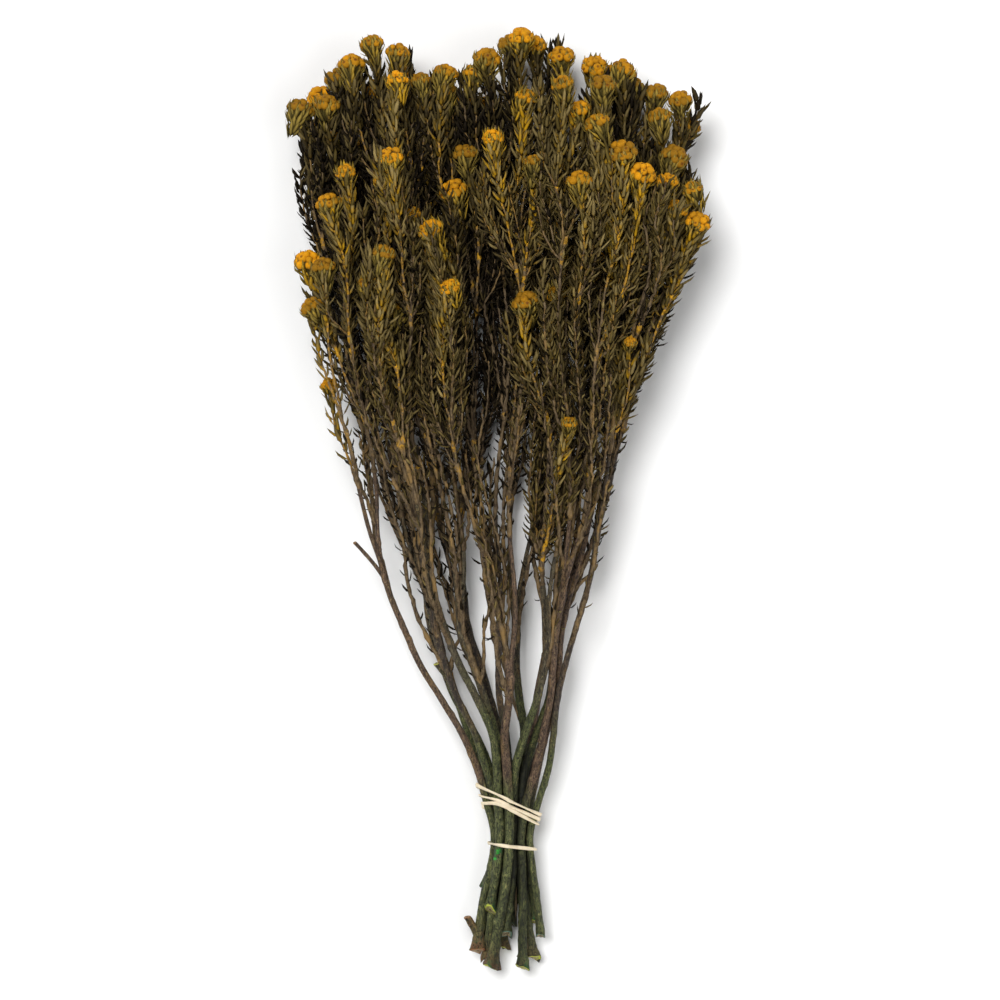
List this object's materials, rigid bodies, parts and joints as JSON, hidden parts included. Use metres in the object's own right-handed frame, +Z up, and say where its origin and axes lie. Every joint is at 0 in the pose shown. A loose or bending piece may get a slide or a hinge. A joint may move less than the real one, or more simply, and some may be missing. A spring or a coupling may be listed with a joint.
{
  "type": "bunch of preserved phylica",
  "caption": "Bunch of preserved phylica: bare woody stems held by rubber bands near the cut ends, fanning out into needle-leaved sprays with domed orange-yellow flower heads.",
  "frame": {"origin": "centre of the bounding box in X and Y, at the underside, on the surface the bunch lies on", "axes": "+Y along the bunch from the cut ends to the flower heads, +X across it, +Z up from the surface it lies on"},
  "size_m": [0.2208, 0.5002, 0.0872],
  "materials": {
    "bark_green": "matte",
    "bark_brown": "matte",
    "bark_dark": "matte",
    "foliage": "matte",
    "flowers": "matte",
    "rubber": "satin"
  },
  "bodies": {
    "root": {"stem_01": "bark_brown", "spray_01a": "foliage", "spray_01b": "foliage", "stem_02": "bark_green", "spray_02a": "foliage", "spray_02b": "foliage", "stem_03": "bark_brown", "spray_03a": "foliage", "spray_03b": "foliage", "stem_04": "bark_green", "spray_04a": "foliage", "spray_04b": "foliage", "stem_05": "bark_brown", "spray_05a": "foliage", "spray_05b": "foliage", "stem_06": "bark_dark", "spray_06a": "foliage", "spray_06b": "foliage", "stem_07": "bark_green", "spray_07a": "foliage", "spray_07b": "foliage", "stem_08": "bark_dark", "spray_08a": "foliage", "spray_08b": "foliage", "stem_09": "bark_green", "spray_09a": "foliage", "spray_09b": "foliage", "stem_10": "bark_dark", "spray_10a": "foliage", "spray_10b": "foliage", "stem_11": "bark_green", "spray_11a": "foliage", "spray_11b": "foliage", "stem_12": "bark_brown", "spray_12a": "foliage", "spray_12b": "foliage", "stem_13": "bark_green", "spray_13a": "foliage", "spray_13b": "foliage", "stem_14": "bark_dark", "spray_14a": "foliage", "spray_14b": "foliage", "stem_15": "bark_green", "spray_15a": "foliage", "spray_15b": "foliage", "stem_16": "bark_brown", "spray_16a": "foliage", "spray_16b": "foliage", "rubber_band_upper": "rubber", "rubber_band_lower": "rubber"}
  },
  "joints": []
}
